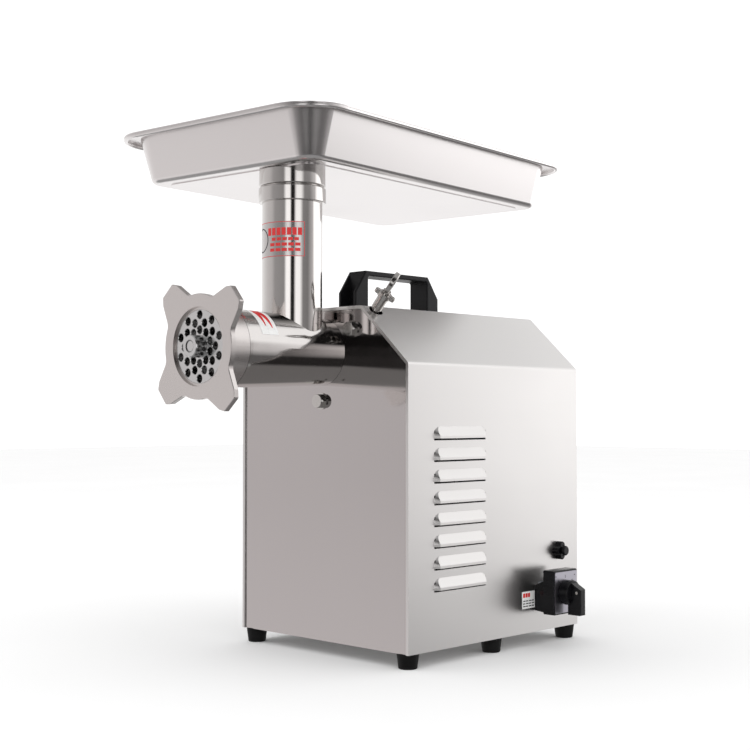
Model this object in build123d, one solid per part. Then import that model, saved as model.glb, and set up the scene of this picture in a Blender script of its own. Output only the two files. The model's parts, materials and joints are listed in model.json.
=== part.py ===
from build123d import *
from math import acos, atan2, cos, degrees, pi, radians, sin, sqrt, tan
import os

# Electric meat grinder with a bent-sheet body, a removable grinding head and a feed tray.
# Millimetres. +X is the switch side, +Y points to the back, +Z up.
# The origin is the centre of the footprint, on the worktop.

# ---------------------------------------------------------------- driving dimensions
BODY_WIDTH = 230.0
BODY_LENGTH = 259.0
FOOT_HEIGHT = 13.8            # worktop to the lower edge of the body
SHOULDER_Z = 277.0            # where the sides fold inwards
TOP_Z = 332.2                 # top of the cover
SHOULDER_INSET = 59.8         # how far each slanted face runs in
SHEET = 1.5                   # sheet steel of the body
BEND_RADIUS = 4.0
LIP = 3.0                     # hem that frames the front panel

AXIS_Z = 290.0                # grinding head, auger and output shaft
TUBE_AHEAD = 37.0             # feed tube axis, ahead of the front panel
BARREL_FRONT_R = 36.3
BARREL_REAR_R = 32.0
NECK_R = 33.0                 # threaded neck behind the cutter plate
BARREL_BORE_R = 29.5
BARREL_LENGTH = 120.6
BARREL_ROOT = 1.3             # the barrel's root all but touches the recessed front panel
BUSH_R = 15.5
PIN_ANGLES = (42, -56)        # grub screws near the barrel's root
PIN_BACK = -10.0
SPIGOT_R = 26.0               # rear end of the head, inside the gear housing
SPIGOT_LENGTH = 55.0
SOCKET_R = 31.6
TUBE_R = 28.5
TUBE_BORE_R = 26.5
TUBE_TOP_Z = 443.0

NUT_FACE_AHEAD = 149.4
NUT_STAR_THICK = 5.0
NUT_OPENING_R = 35.2
NUT_LOBE_R = 68.6
NUT_LOBE_WIDTH = 17.7
NUT_BODY_R = 47.0
NUT_TURN = -4.5               # how far the nut is screwed round, degrees
NUT_RECESS = 2.5               # the cutter plate sits this far behind the nut's face
NUT_LIP_R = 32.8
PLATE_R = 33.5
PLATE_THICK = 9.5
PLATE_HOLE_R = 3.7
KEY_INNER_R = 31.5             # the plate's key reaches in this far
STUD_R = 10.0
STUD_FACE_AHEAD = 158.0
AUGER_R = 29.1
AUGER_CORE_R = 13.0
AUGER_PITCH = 38.0
AUGER_SHAFT_R = 12.0
DRIVE_SQUARE = 14.0

TRAY_YAW = 5.2               # the tray is set slightly askew on its tube
TRAY_BOTTOM_Z = 460.1
TRAY_RIM_Z = 506.2
TRAY_LEFT, TRAY_RIGHT = -163.5, 58.5      # bottom edges, from the tube axis
TRAY_FRONT, TRAY_BACK = -39.0, 341.0
TRAY_FLARE = 12.7               # how far each wall leans out
TRAY_FLANGE = 16.0              # flat edge round the mouth, rolled edge included
TRAY_CORNER_R = 17.5            # corners of the bottom, seen from above
TRAY_BEAD = 5.0                 # height of the rolled edge
TRAY_BEAD_WIDTH = 4.2
TRAY_STEP = 0.8                 # depth of the shallow step in the floor
TRAY_STEP_INSET = 14.0
TRAY_SHEET = 1.2
THROAT_R = 24.3

RUNNING = 0.05                # radial clearance of a running fit
SEATED = 0.02                 # radial clearance of a fixed fit

LAY_Z = AXIS_Z - 44.25        # layshaft axis
MOTOR_Z = LAY_Z - 41.25       # motor axis
GEAR_MODULE, OUTPUT_TEETH, LAY_PINION_TEETH = 1.5, 44, 15
MOTOR_MODULE, LAY_TEETH, ROTOR_TEETH = 1.25, 52, 14
MOTOR_R = 65.0
MOTOR_BORE_R = 60.5

HANDLE_WIDTH = 24.5
SWITCH_BACK, SWITCH_Z = 200.0, 54.5       # knob axis on the +X side
RESET_BACK, RESET_Z = 224.0, 92.0
CLAMP_BACK = 13.5                         # clamp screw, behind the front panel
CLAMP_X, CLAMP_Z = 60.1, 327.7            # where it leaves the slanted face
CLAMP_TURN = -53.4                        # how far its loop and wing nut are turned, degrees
BOLT_RING_R = 47.1
BOLT_ANGLES = (270, 26, 154)
BOLT_END = 9.0                            # the front bolts stop short of the clamp screw

FRONT_Y = -BODY_LENGTH / 2
SIDE_X = BODY_WIDTH / 2
TUBE_Y = FRONT_Y - TUBE_AHEAD
SLANT_LENGTH = sqrt(SHOULDER_INSET**2 + (TOP_Z - SHOULDER_Z)**2)
SLANT_NX = (TOP_Z - SHOULDER_Z) / SLANT_LENGTH
SLANT_NZ = SHOULDER_INSET / SLANT_LENGTH


# ---------------------------------------------------------------- helpers
def behind(distance):
    """Y of a point a distance behind the front panel; negative is ahead of it."""
    return FRONT_Y + distance


def rod_y(radius, start, end, x=0.0, z=AXIS_Z):
    """Cylinder along Y; start and end are distances behind the front panel."""
    return Pos(x, behind((start + end) / 2), z) * Rot(90, 0, 0) * Cylinder(radius, abs(end - start))


def rod_z(radius, z0, z1, x=0.0, y=0.0):
    return Pos(x, y, (z0 + z1) / 2) * Cylinder(radius, abs(z1 - z0))


def rod_x(radius, x0, x1, back, z):
    return Pos((x0 + x1) / 2, behind(back), z) * Rot(0, 90, 0) * Cylinder(radius, abs(x1 - x0))


def block(x0, x1, start, end, z0, z1):
    """Box; start and end are distances behind the front panel."""
    middle = ((x0 + x1) / 2, behind((start + end) / 2), (z0 + z1) / 2)
    return Pos(*middle) * Box(abs(x1 - x0), abs(end - start), abs(z1 - z0))


def along_y(sketch, start, end):
    """Extrude a sketch drawn in X and Z from start to end behind the front panel."""
    return Pos(0, behind(end), 0) * extrude(Plane.XZ * sketch, amount=end - start)


def along_x(sketch, x0, x1):
    """Extrude a sketch drawn in Y and Z from x0 to x1."""
    return Pos(x0, 0, 0) * extrude(Plane.YZ * sketch, amount=x1 - x0)


def outline(points):
    """Closed outline that always faces the same way, whichever way round its points run."""
    pairs = zip(points, points[1:] + points[:1])
    turned_area = sum(x0 * y1 - x1 * y0 for (x0, y0), (x1, y1) in pairs)
    return Polygon(*(points if turned_area > 0 else points[::-1]), align=None)


def polar(radius, angle, x=0.0, z=0.0):
    return (x + radius * cos(radians(angle)), z + radius * sin(radians(angle)))


def hexagon_y(across_flats, start, end, x, z):
    flat = Pos(x, z) * RegularPolygon(across_flats / 2, 6, major_radius=False)
    return along_y(flat, start, end)


def group(solids):
    """Several separate solids in one node."""
    return Compound(children=[solid for item in solids for solid in item.solids()])


def body_outline(inset, bottom, radius):
    """Section of the body: upright sides, slanted shoulders and a flat top."""
    side = SIDE_X - inset
    top = TOP_Z - inset
    fold_z = SHOULDER_Z - inset * (1 - SLANT_NX) / SLANT_NZ
    fold_x = SIDE_X - SHOULDER_INSET - inset * (1 - SLANT_NZ) / SLANT_NX
    half = [(side, bottom), (side, fold_z), (fold_x, top)]
    shape = outline(half + [(-x, z) for x, z in reversed(half)])
    folds = [v for v in shape.vertices() if v.Y > bottom + 1]
    return fillet(folds, radius) if radius > 0 else shape


def slant_plane(height):
    """Plane across the clamp screw, its x along Y, at a height above the slanted face."""
    face = Plane(origin=(CLAMP_X, behind(CLAMP_BACK), CLAMP_Z), x_dir=(0, 1, 0), z_dir=(SLANT_NX, 0, SLANT_NZ))
    return face.offset(height)


def slant_rod(radius, low, high):
    """Cylinder along the clamp screw's axis; distances are measured out from the slanted face."""
    return slant_plane((low + high) / 2) * Cylinder(radius, high - low)


# ---------------------------------------------------------------- body sheets
LOUVRE_COUNT = 8
LOUVRE_PITCH = 19.9
LOUVRE_LENGTH = 76.0
LOUVRE_HEIGHT = 11.0
LOUVRE_BULGE = 4.2
LOUVRE_LIP = 2.6              # upright part of a hood, above its open lower edge
LOUVRE_CORNER_R = 9.0
LOUVRE_END_SLOPE = 50         # lean of a hood's ends, degrees
LOUVRE_SHEET = 1.1
LOUVRE_SLIT = 1.8             # part of the opening that shows below the hood
LOUVRE_TOP_Z = 219.0
LOUVRE_MIDDLE_BACK = 72.0
REAR_FLANGE = 14.0
REAR_PANEL_START = BODY_LENGTH - SHEET


def louvre(inset):
    """One louvre hood on the +X wall, or with an inset the hollow inside it; z is 0 at its top edge."""
    bulge = LOUVRE_BULGE - inset
    plan = Rectangle(LOUVRE_LENGTH - 2 * inset, 2 * LOUVRE_HEIGHT)
    plan = fillet([v for v in plan.vertices() if v.Y > 0], LOUVRE_CORNER_R - inset)
    raised = Pos(0, 0, -inset - LOUVRE_HEIGHT) * extrude(Plane.YZ * plan, amount=bulge, taper=LOUVRE_END_SLOPE)
    low = -LOUVRE_HEIGHT - inset
    profile = outline([(0, -inset), (bulge, low + LOUVRE_LIP), (bulge, low), (0, low)])
    brow = [v for v in profile.vertices() if v.X > bulge - 0.1 and v.Y > low + 0.1]
    profile = fillet(brow, LOUVRE_LIP / 2)
    half = LOUVRE_LENGTH / 2
    wedge = Pos(0, -FRONT_Y, 0) * along_y(profile, -half, half)
    return Pos(0, behind(LOUVRE_MIDDLE_BACK), 0) * (raised & wedge)


def make_cover():
    shell = along_y(body_outline(0, FOOT_HEIGHT, BEND_RADIUS), 0, REAR_PANEL_START)
    hollow = along_y(body_outline(SHEET, FOOT_HEIGHT - 5, BEND_RADIUS - SHEET), SHEET, REAR_PANEL_START - SHEET)
    front = along_y(body_outline(LIP, FOOT_HEIGHT - 5, BEND_RADIUS - LIP), -1, SHEET + 1)
    rear = along_y(body_outline(REAR_FLANGE, FOOT_HEIGHT - 5, 0), REAR_PANEL_START - 5, REAR_PANEL_START + 1)
    shell = shell - hollow - front - rear

    hood = louvre(0)
    hollow_hood = louvre(LOUVRE_SHEET)
    half_slot = LOUVRE_LENGTH / 2 - LOUVRE_SHEET
    slot_start, slot_end = LOUVRE_MIDDLE_BACK - half_slot, LOUVRE_MIDDLE_BACK + half_slot
    slot = block(-8, 0.5, slot_start, slot_end, -LOUVRE_HEIGHT - LOUVRE_SLIT, -LOUVRE_HEIGHT / 3)
    for side in (1, -1):
        for row in range(LOUVRE_COUNT):
            z = LOUVRE_TOP_Z - row * LOUVRE_PITCH
            cutters = (hood, hollow_hood, slot)
            if side < 0:
                cutters = [mirror(item, Plane.YZ) for item in cutters]
            outer, inner, gap = [Pos(side * SIDE_X, 0, z) * item for item in cutters]
            shell = (shell + outer) - inner - gap

    shell -= Pos(SIDE_X - 1, behind(RESET_BACK), RESET_Z) * Rot(0, 90, 0) * Cylinder(5.7, 10)
    shell -= block(SIDE_X - 4, SIDE_X + 4, SWITCH_BACK - 9, SWITCH_BACK + 9, SWITCH_Z - 9, SWITCH_Z + 9)
    for back in HANDLE_BOLT_BACKS:
        shell -= rod_z(2.7, TOP_Z - 8, TOP_Z + 8, 0, behind(back))
    shell -= extrude(slant_plane(-8) * Pos(1.2, 0) * SlotOverall(15, 12), amount=16)
    for x, z in REAR_SCREWS:
        shell -= rod_y(1.6, REAR_PANEL_START - 5, REAR_PANEL_START + 1, x, z)
    return shell


def make_front_panel():
    panel = along_y(body_outline(SHEET, FOOT_HEIGHT, BEND_RADIUS - SHEET), SHEET, 2 * SHEET)
    panel -= rod_y(SOCKET_R + 0.3, -2, 8)
    for x, z in FRONT_BOLTS:
        panel -= rod_y(4.3, -2, 8, x, z)
    return panel


def make_rear_panel():
    panel = along_y(body_outline(2.0, FOOT_HEIGHT + 0.5, 3), REAR_PANEL_START, BODY_LENGTH)
    for row in range(6):
        for x in (-40, 40):
            slot = Pos(x, 235 - row * 14) * SlotOverall(54, 5)
            panel -= along_y(slot, REAR_PANEL_START - 2, BODY_LENGTH + 2)
    panel -= rod_y(8.2, REAR_PANEL_START - 2, BODY_LENGTH + 2, GLAND_X, GLAND_Z)
    for x, z in REAR_SCREWS:
        panel -= rod_y(2.1, REAR_PANEL_START - 2, BODY_LENGTH + 2, x, z)
    return panel


def make_base_plate():
    """Shallow pan that closes the underside."""
    side = SIDE_X - SHEET
    start, end = 2 * SHEET, REAR_PANEL_START - SHEET
    pan = block(-side, side, start, end, FOOT_HEIGHT, FOOT_HEIGHT + 14)
    pan -= block(-side + SHEET, side - SHEET, start + SHEET, end - SHEET, FOOT_HEIGHT + SHEET, FOOT_HEIGHT + 20)
    for row in range(7):
        vent = Pos(-20, behind(70 + row * 18)) * SlotOverall(70, 6)
        pan -= extrude(Plane.XY.offset(FOOT_HEIGHT - 2) * vent, amount=8)
    for x, y in FOOT_PLACES:
        pan -= rod_z(2.7, FOOT_HEIGHT - 2, FOOT_HEIGHT + 5, x, y)
    return pan


# ---------------------------------------------------------------- feet and fasteners
FOOT_INSET = 10.5
FOOT_PLACES = [
    (side * (SIDE_X - FOOT_INSET), y)
    for side in (1, -1)
    for y in (FRONT_Y + FOOT_INSET, 0.0, -FRONT_Y - FOOT_INSET)
]
FRONT_BOLTS = [polar(BOLT_RING_R, angle, 0, AXIS_Z) for angle in BOLT_ANGLES]
REAR_SCREWS = [(x, z) for x in (-106.0, 106.0) for z in (40.0, 150.0, 262.0)] + [(-30.0, 324.0), (30.0, 324.0)]
GLAND_X, GLAND_Z = -70.0, 50.0
HANDLE_BOLT_BACKS = (45.5, 148.0)


def make_feet():
    feet = []
    for x, y in FOOT_PLACES:
        foot = Pos(x, y, FOOT_HEIGHT / 2) * Cone(8.7, 10.5, FOOT_HEIGHT)
        foot = fillet(foot.edges().sort_by(Axis.Z)[0], 1.0)
        foot -= rod_z(2.7, -1, FOOT_HEIGHT + 1, x, y)
        foot -= rod_z(5.2, -1, 6.0, x, y)
        feet.append(foot)
    return group(feet)


def make_foot_screws():
    screws = []
    for x, y in FOOT_PLACES:
        head = rod_z(4.6, 3.2, 6.0, x, y)
        head -= Pos(x, y, 3.2) * Box(6.5, 1.2, 2.4)
        shank = rod_z(2.5, 6.0, 24.0, x, y)
        screws.append(head + shank)
    return group(screws)


def make_foot_nuts():
    nuts = []
    for x, y in FOOT_PLACES:
        flat = Pos(x, y) * RegularPolygon(4.0, 6, major_radius=False)
        nut = extrude(Plane.XY.offset(FOOT_HEIGHT + SHEET) * flat, amount=4)
        nuts.append(nut - rod_z(2.5 + SEATED, 10, 30, x, y))
    return group(nuts)


def make_front_bolts():
    """Hexagon bolts that hold the gear housing against the front panel."""
    bolts = []
    for x, z in FRONT_BOLTS:
        head = hexagon_y(13, -5.5, 0.1, x, z)
        head = head & (Pos(x, behind(-2.7), z) * Rot(90, 0, 0) * Cone(8.9, 6.3, 5.7))
        shank = rod_y(4.0, -0.1, BOLT_END, x, z)
        bolts.append(head + shank)
    return group(bolts)


def make_front_washers():
    washers = []
    for x, z in FRONT_BOLTS:
        washers.append(rod_y(8.0, 0.1, SHEET, x, z) - rod_y(4.0 + SEATED, -1, 4, x, z))
    return group(washers)


def make_rear_screws():
    screws = []
    for x, z in REAR_SCREWS:
        head = rod_y(3.6, BODY_LENGTH, BODY_LENGTH + 2.2, x, z)
        head = fillet(head.edges().sort_by(Axis.Y)[-1], 1.2)
        head -= block(x - 2.2, x + 2.2, BODY_LENGTH + 1.2, BODY_LENGTH + 3, z - 0.5, z + 0.5)
        head -= block(x - 0.5, x + 0.5, BODY_LENGTH + 1.2, BODY_LENGTH + 3, z - 2.2, z + 2.2)
        screws.append(head + rod_y(1.5, BODY_LENGTH - 9, BODY_LENGTH, x, z))
    return group(screws)


def make_cable_gland():
    """Strain relief with an 8 mm passage for a mains lead, and the nut that holds it from inside."""
    passage = rod_y(4.2, BODY_LENGTH - 20, BODY_LENGTH + 20, GLAND_X, GLAND_Z)
    hexagon = hexagon_y(20, BODY_LENGTH, BODY_LENGTH + 5, GLAND_X, GLAND_Z)
    dome = rod_y(8.6, BODY_LENGTH + 5, BODY_LENGTH + 16, GLAND_X, GLAND_Z)
    dome = fillet(dome.edges().sort_by(Axis.Y)[-1], 3.0)
    thread = rod_y(8.0, BODY_LENGTH - 10, BODY_LENGTH, GLAND_X, GLAND_Z)
    nut = hexagon_y(22, BODY_LENGTH - SHEET - 6, BODY_LENGTH - SHEET, GLAND_X, GLAND_Z)
    nut -= rod_y(8.0 + SEATED, BODY_LENGTH - 20, BODY_LENGTH, GLAND_X, GLAND_Z)
    return group([hexagon + dome + thread - passage, nut])


# ---------------------------------------------------------------- carrying handle
HANDLE_START, HANDLE_END = 35.6, 157.0
HANDLE_TOP_Z = 372.0
HANDLE_BAR = 5.0


def make_top_handle():
    start, end = behind(HANDLE_START), behind(HANDLE_END)
    outer = outline([
        (start, TOP_Z), (start, 350.0), (start + 14.9, HANDLE_TOP_Z),
        (end - 15.4, HANDLE_TOP_Z), (end, 350.0), (end, TOP_Z),
    ])
    under = HANDLE_TOP_Z - HANDLE_BAR
    window = outline([
        (start + 18, TOP_Z - 5), (start + 18, under - 1.5), (start + 19.5, under),
        (end - 18.5, under), (end - 17, under - 1.5), (end - 17, TOP_Z - 5),
    ])
    half = HANDLE_WIDTH / 2
    handle = along_x(outer, -half, half) - along_x(window, -half - 5, half + 5)
    long_edges = [e for e in handle.edges() if abs(e.center().X) > half - 0.1 and e.center().Z > TOP_Z + 2]
    handle = fillet(long_edges, 1.4)
    wall = 3.2
    for edge, sign in ((start, 1), (end, -1)):
        pocket = outline([
            (edge - sign, TOP_Z + 5), (edge - sign, 352), (edge + sign * 13.5, 371.5),
            (edge + sign * 12.5, 366.5), (edge + sign * 12.5, TOP_Z + 5),
        ])
        handle -= along_x(pocket, -half + wall, half - wall)
    for back in HANDLE_BOLT_BACKS:
        handle -= rod_z(2.5 + SEATED, TOP_Z - 1, TOP_Z + 4.5, 0, behind(back))
    return handle


def make_handle_bolts():
    """Bolts from inside the cover up into the handle's two legs."""
    bolts = []
    for back in HANDLE_BOLT_BACKS:
        y = behind(back)
        head = rod_z(5.0, TOP_Z - SHEET - 3.5, TOP_Z - SHEET, 0, y)
        bolts.append(head + rod_z(2.5, TOP_Z - SHEET, TOP_Z + 4.2, 0, y))
    return group(bolts)


# ---------------------------------------------------------------- gear housing
CASE_R = 39.5
CASE_BORE_R = 36.0
CASE_START, CASE_END = 55.0, 93.0
COVER_END = 101.0
LUGS = [(x, z) for x in (-42.0, 42.0) for z in (270.0, 225.0)]
BEARING_FRONT = (31.0, 17.5, 59.2, 73.0)       # outer radius, bore radius, start, end
BEARING_REAR = (16.0, 10.0, 93.6, 100.6)
LAY_BUSH_FRONT = (12.0, 8.0, 60.0, 72.0)
LAY_BUSH_REAR = (14.0, 8.0, 93.6, 100.6)
MOTOR_BEARING_FRONT = (16.0, 6.0, 117.2, 126.0)
MOTOR_BEARING_REAR = (16.0, 6.0, 217.0, 227.0)


def stadium(radius, top, bottom, start, end):
    """Upright round-ended prism between two centre heights."""
    prism = rod_y(radius, start, end, 0, top) + rod_y(radius, start, end, 0, bottom)
    return prism + block(-radius, radius, start, end, bottom, top)


def make_gear_housing():
    """Casting with the head socket in front and the open gear case behind."""
    casting = rod_y(SOCKET_R, SHEET, CASE_START + 4)
    casting += rod_y(37.0, 2 * SHEET, 11)
    for x, z in FRONT_BOLTS:
        casting += rod_y(9.0, 2 * SHEET, 25, x, z)
        reach = atan2(z - AXIS_Z, x)
        arm = Pos(x / 2, behind(7), (z + AXIS_Z) / 2) * Rot(0, -degrees(reach), 0) * Box(BOLT_RING_R, 8, 16)
        casting += arm
    casting += stadium(CASE_R, AXIS_Z, MOTOR_Z + 12, CASE_START, CASE_END)
    for x, z in LUGS:
        casting += rod_y(6.5, CASE_START + 20, CASE_END, x, z)
    casting += slant_rod(9.0, -44, -12)
    casting -= stadium(CASE_BORE_R, AXIS_Z, MOTOR_Z + 12, 73.0, CASE_END + 5)
    casting -= rod_y(SPIGOT_R + RUNNING, -5, BEARING_FRONT[2] - 0.1)
    casting -= rod_y(BEARING_FRONT[0] + SEATED, BEARING_FRONT[2] - 0.2, 80)
    casting -= rod_y(LAY_BUSH_FRONT[0] + SEATED, LAY_BUSH_FRONT[2], 80, 0, LAY_Z)
    for x, z in FRONT_BOLTS:
        casting -= rod_y(4.0 + SEATED, -5, BOLT_END + 0.2, x, z)
    for x, z in LUGS:
        casting -= rod_y(2.5 + SEATED, 84.5, 100, x, z)
    return casting - slant_rod(4.0 + RUNNING, -60, 0)


def make_gear_cover():
    cover = stadium(CASE_R, AXIS_Z, MOTOR_Z + 12, CASE_END, COVER_END)
    for x, z in LUGS:
        cover += rod_y(6.5, CASE_END, COVER_END, x, z)
    for seat, z in ((BEARING_REAR, AXIS_Z), (LAY_BUSH_REAR, LAY_Z)):
        cover -= rod_y(seat[0] + SEATED, seat[2], 110, 0, z)
        cover -= rod_y(seat[1] + 1.0, 90, 110, 0, z)
    cover -= rod_y(ROTOR_TEETH * MOTOR_MODULE / 2 + 3, 99, 110, 0, MOTOR_Z)
    for x, z in LUGS:
        cover -= rod_y(2.5 + SEATED, 90, 110, x, z)
    return cover


def make_gearbox_screws():
    screws = []
    for x, z in LUGS:
        upper = z > 250
        head_start = COVER_END if upper else 121.0
        head = rod_y(4.2, head_start, head_start + 4, x, z)
        head -= Pos(x, behind(head_start + 4), z) * Rot(90, 0, 0) * extrude(RegularPolygon(2.0, 6), 4.4, both=True)
        screws.append(head + rod_y(2.5, 85, head_start, x, z))
    return group(screws)


def bearing(seat, z):
    """Ball bearing: outer and inner ring with recessed faces and a ring of balls between them."""
    outer, bore, start, end = seat
    ring = rod_y(outer, start, end, 0, z)
    middle = (outer + bore) / 2
    groove = rod_y(middle + 1.4, start - 1, start + 0.8, 0, z) - rod_y(middle - 1.4, start - 2, start + 2, 0, z)
    back = rod_y(middle + 1.4, end - 0.8, end + 1, 0, z) - rod_y(middle - 1.4, end - 2, end + 2, 0, z)
    hole = rod_y(bore + RUNNING, start - 2, end + 2, 0, z)
    return ring - groove - back - hole


def make_ball_bearings():
    """Two bearings on the output shaft and two on the motor shaft."""
    output = [bearing(seat, AXIS_Z) for seat in (BEARING_FRONT, BEARING_REAR)]
    motor = [bearing(seat, MOTOR_Z) for seat in (MOTOR_BEARING_FRONT, MOTOR_BEARING_REAR)]
    return group(output + motor)


def bush(seat, z):
    outer, bore, start, end = seat
    return rod_y(outer, start, end, 0, z) - rod_y(bore + RUNNING, start - 2, end + 2, 0, z)


def make_layshaft_bushes():
    return group([bush(LAY_BUSH_FRONT, LAY_Z), bush(LAY_BUSH_REAR, LAY_Z)])


def make_output_seal():
    return rod_y(SPIGOT_R, 55.6, 58.8) - rod_y(17.45 + 0.3, 50, 62)


# ---------------------------------------------------------------- gears
def gear_face(teeth, module, phase):
    """Involute spur gear outline; phase is the angle of one tooth's middle, in degrees."""
    pitch_r = module * teeth / 2
    base_r = pitch_r * cos(radians(20))
    tip_r = pitch_r + module
    root_r = pitch_r - 1.25 * module
    backlash = 0.12 / pitch_r

    def involute(radius):
        roll = acos(min(1.0, base_r / radius))
        return tan(roll) - roll

    half_tooth = pi / (2 * teeth) - backlash / 2 + involute(pitch_r)
    flank = [max(base_r, root_r), pitch_r, (pitch_r + tip_r) / 2, tip_r]
    points = []
    for tooth in range(teeth):
        middle = radians(phase) + 2 * pi * tooth / teeth
        rising = [(r, middle - half_tooth + involute(r)) for r in flank]
        falling = [(r, middle + half_tooth - involute(r)) for r in reversed(flank)]
        root_half = half_tooth - involute(flank[0])
        start = [(root_r, middle - root_half)] if root_r < base_r - 0.01 else []
        finish = [(root_r, middle + root_half)] if root_r < base_r - 0.01 else []
        points += [(r * cos(a), r * sin(a)) for r, a in start + rising + falling + finish]
    return outline(points)


def gear(teeth, module, phase, start, end, z):
    return along_y(Pos(0, z) * gear_face(teeth, module, phase), start, end)


OUTPUT_GEAR = (74.0, 90.0)
LAY_GEAR = (103.0, 115.0)


def make_output_gear():
    wheel = gear(OUTPUT_TEETH, GEAR_MODULE, 270 + 180 / OUTPUT_TEETH, *OUTPUT_GEAR, AXIS_Z)
    for start in (73.0, 87.0):
        wheel -= rod_y(27, start, start + 4) - rod_y(18.5, start - 1, start + 5)
    wheel -= rod_y(14 + SEATED, 60, 100)
    return wheel - block(-2.5 - SEATED, 2.5 + SEATED, 60, 100, AXIS_Z + 8, AXIS_Z + 16.5)


def make_output_shaft():
    """Output shaft with the square drive socket that turns the auger."""
    shaft = rod_y(17.45, 57.2, 73.4)
    shaft += rod_y(14, 73.4, 91)
    shaft += rod_y(10, 91, 101)
    half = DRIVE_SQUARE / 2 + 0.3
    shaft -= block(-half, half, 50, 71.5, AXIS_Z - half, AXIS_Z + half)
    return shaft - block(-2.5 - SEATED, 2.5 + SEATED, 74, 90, AXIS_Z + 11.5, AXIS_Z + 20)


def make_output_key():
    return block(-2.5, 2.5, 75, 89, AXIS_Z + 11.5, AXIS_Z + 16.4)


def make_layshaft():
    shaft = rod_y(8, 60.5, 116, 0, LAY_Z)
    return shaft + gear(LAY_PINION_TEETH, GEAR_MODULE, 90, 73.5, 91.5, LAY_Z)


def make_lay_gear():
    wheel = gear(LAY_TEETH, MOTOR_MODULE, 270 + 180 / LAY_TEETH, *LAY_GEAR, LAY_Z)
    for turn in range(6):
        x, z = polar(20, 60 * turn + 30, 0, LAY_Z)
        wheel -= rod_y(5.5, 100, 120, x, z)
    return wheel - rod_y(8 + SEATED, 100, 120, 0, LAY_Z)


# ---------------------------------------------------------------- motor
BELL_END = 126.0
SHELL_END = 214.0
STATOR = (140.0, 200.0)
ROTOR_R = 33.4


def make_front_bell():
    """Front end bell of the motor, which also closes the first gear stage."""
    bell = rod_y(MOTOR_R, COVER_END, BELL_END, 0, MOTOR_Z)
    bell += rod_y(38, COVER_END, BELL_END, 0, LAY_Z)
    bell += rod_y(MOTOR_BORE_R - SEATED, BELL_END, BELL_END + 2, 0, MOTOR_Z)
    bell -= rod_y(35.3, COVER_END - 1, 117, 0, LAY_Z)
    bell -= rod_y(12, COVER_END - 1, 117, 0, MOTOR_Z)
    bell -= rod_y(MOTOR_BEARING_FRONT[0] + SEATED, MOTOR_BEARING_FRONT[2], 140, 0, MOTOR_Z)
    bell -= rod_y(8, 110, 120, 0, MOTOR_Z)
    for x, z in LUGS:
        if z < 250:
            bell -= rod_y(2.5 + SEATED, 100, 130, x, z)
            bell -= rod_y(4.4, 121, 130, x, z)
        else:
            bell -= rod_y(8, 100, 140, x, z)
    return bell


def make_motor_shell():
    return rod_y(MOTOR_R, BELL_END, SHELL_END, 0, MOTOR_Z) - rod_y(MOTOR_BORE_R, 100, 240, 0, MOTOR_Z)


def make_rear_bell():
    bell = rod_y(MOTOR_R, SHELL_END, 230, 0, MOTOR_Z)
    bell -= rod_y(54, SHELL_END - 1, 225, 0, MOTOR_Z) - rod_y(21, 200, 240, 0, MOTOR_Z)
    bell -= rod_y(MOTOR_BEARING_REAR[0] + SEATED, SHELL_END - 1, MOTOR_BEARING_REAR[3], 0, MOTOR_Z)
    bell -= rod_y(8, 200, 240, 0, MOTOR_Z)
    for turn in range(8):
        x, z = polar(40, 45 * turn, 0, MOTOR_Z)
        bell -= rod_y(9, 220, 240, x, z)
    for x, z in MOTOR_SCREWS:
        bell -= rod_y(1.6, 200, 240, x, z)
    return bell


MOTOR_SCREWS = [polar(60, angle, 0, MOTOR_Z) for angle in (45, 135, 225, 315)]


def make_motor_screws():
    screws = []
    for x, z in MOTOR_SCREWS:
        screws.append(rod_y(1.5, 216, 230, x, z) + rod_y(3.2, 230, 232.5, x, z))
    return group(screws)


def make_stator():
    core = rod_y(MOTOR_BORE_R - RUNNING, *STATOR, 0, MOTOR_Z) - rod_y(34, 100, 240, 0, MOTOR_Z)
    for turn in range(24):
        x, z = polar(34, 15 * turn, 0, MOTOR_Z)
        core -= Pos(x, 0, z) * Rot(0, -15 * turn, 0) * Box(20, 400, 3)
    return core


def make_windings():
    coils = []
    for start, end in ((129.5, STATOR[0]), (STATOR[1], 211.5)):
        ring = rod_y(57, start, end, 0, MOTOR_Z) - rod_y(37, start - 5, end + 5, 0, MOTOR_Z)
        outer = sorted(ring.faces(), key=lambda f: abs(f.center().Y - behind((STATOR[0] + STATOR[1]) / 2)))[-1]
        coils.append(fillet(outer.edges(), 4))
    return group(coils)


def make_rotor_core():
    core = rod_y(ROTOR_R, *STATOR, 0, MOTOR_Z)
    for start, end in ((134, STATOR[0]), (STATOR[1], 206)):
        core += rod_y(31, start, end, 0, MOTOR_Z) - rod_y(18, start - 2, end + 2, 0, MOTOR_Z)
    return core - rod_y(9 + SEATED, 100, 240, 0, MOTOR_Z)


def make_rotor_shaft():
    shaft = rod_y(6, 102.5, 246, 0, MOTOR_Z) + rod_y(9, 128.5, 214, 0, MOTOR_Z)
    return shaft + gear(ROTOR_TEETH, MOTOR_MODULE, 90, 102.5, 115.5, MOTOR_Z)


def make_cooling_fan():
    fan = rod_y(11, 234, 246, 0, MOTOR_Z) + rod_y(52, 234, 236, 0, MOTOR_Z)
    for turn in range(9):
        blade = block(10, 52, 235.5, 246, MOTOR_Z - 1, MOTOR_Z + 1)
        fan += Pos(0, 0, MOTOR_Z) * Rot(0, 40 * turn, 0) * Pos(0, 0, -MOTOR_Z) * blade
    return fan - rod_y(6 + SEATED, 220, 250, 0, MOTOR_Z)


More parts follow.
